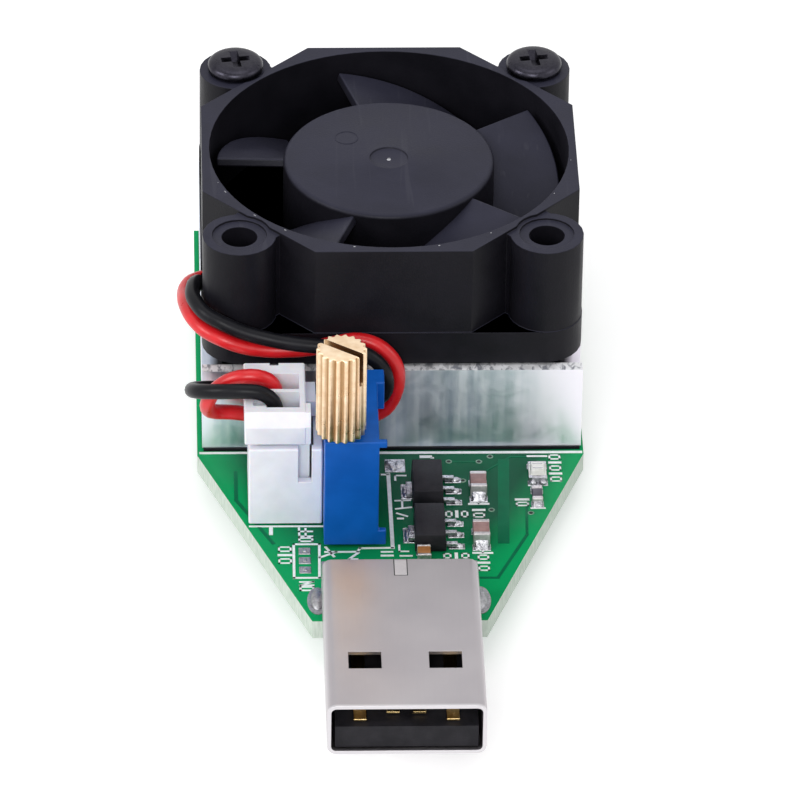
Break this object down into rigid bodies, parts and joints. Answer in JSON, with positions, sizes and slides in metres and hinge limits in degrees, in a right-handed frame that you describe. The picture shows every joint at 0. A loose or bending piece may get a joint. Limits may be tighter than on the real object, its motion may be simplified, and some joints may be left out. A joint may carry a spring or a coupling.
{
  "type": "usb load tester",
  "caption": "Plug-in constant-current USB load: tapered circuit board with a USB-A plug, finned heat sink, cooling fan, and a knurled trimmer knob that sets the current.",
  "frame": {"origin": "under the middle of the whole length and width, level with the lowest faces below the board", "axes": "+Y from the USB plug's tip to the board's rear edge, +Z from the board up to the fan, +X to the right seen from the plug"},
  "size_m": [0.0322, 0.0714, 0.0231],
  "materials": {
    "solder_mask": "glossy green solder mask",
    "aluminium": "satin, rolled",
    "fan_moulding": "satin black moulding",
    "chip_epoxy": "matt black epoxy",
    "black_screw": "blackened",
    "plated_steel": "nickel plated, satin",
    "brass": "bright, splined",
    "blue_case": "satin blue",
    "white_nylon": "satin white",
    "tin": "tinned",
    "gold_contact": "gold flash",
    "copper_wire": "enamelled copper",
    "ferrite": "bonded magnet",
    "bronze": "sintered",
    "ceramic": "fired ceramic with tinned ends",
    "led_case": "clear over white",
    "red_sleeve": "glossy soft sleeve",
    "black_sleeve": "satin soft sleeve"
  },
  "bodies": {
    "root": {"circuit_board": "solder_mask", "heat_sink": "aluminium", "fan_frame": "fan_moulding", "fan_bearing_sleeve": "bronze", "fan_stator_core": "plated_steel", "fan_coil_1": "copper_wire", "fan_coil_2": "copper_wire", "fan_coil_3": "copper_wire", "fan_coil_4": "copper_wire", "fan_motor_board": "solder_mask", "fan_lead_red": "red_sleeve", "fan_lead_black": "black_sleeve", "mounting_screw_left": "black_screw", "mounting_screw_right": "black_screw", "mounting_nut_left": "plated_steel", "mounting_nut_right": "plated_steel", "connector_header": "white_nylon", "connector_plug": "white_nylon", "header_pin_1": "tin", "header_pin_2": "tin", "crimp_contact_1": "tin", "crimp_contact_2": "tin", "trimmer_body": "blue_case", "trimmer_lead_1": "tin", "trimmer_lead_2": "tin", "trimmer_lead_3": "tin", "usb_shell": "plated_steel", "usb_insulator": "chip_epoxy", "usb_contact_1": "gold_contact", "usb_contact_2": "gold_contact", "usb_contact_3": "gold_contact", "usb_contact_4": "gold_contact", "regulator_rear": "chip_epoxy", "regulator_front": "chip_epoxy", "capacitor_rear": "ceramic", "capacitor_front": "ceramic", "power_led": "led_case", "led_resistor": "ceramic", "small_capacitor": "ceramic", "power_transistor": "chip_epoxy", "current_sense_resistor": "chip_epoxy", "control_amplifier": "chip_epoxy"},
    "fan_rotor_body": {"fan_rotor": "fan_moulding", "fan_magnet_ring": "ferrite", "fan_shaft": "plated_steel"},
    "knob_body": {"trimmer_knob": "brass"}
  },
  "joints": [
    {"name": "fan_spin", "type": "hinge", "parent": "root", "child": "fan_rotor_body", "pos_m": [0, 0.0198, 0.0119], "axis": [0, 0, 1], "continuous": true},
    {"name": "trimmer_turn", "type": "hinge", "parent": "root", "child": "knob_body", "pos_m": [-0.0044, -0.00785, 0.0144], "axis": [0, 0, 1], "continuous": true}
  ]
}
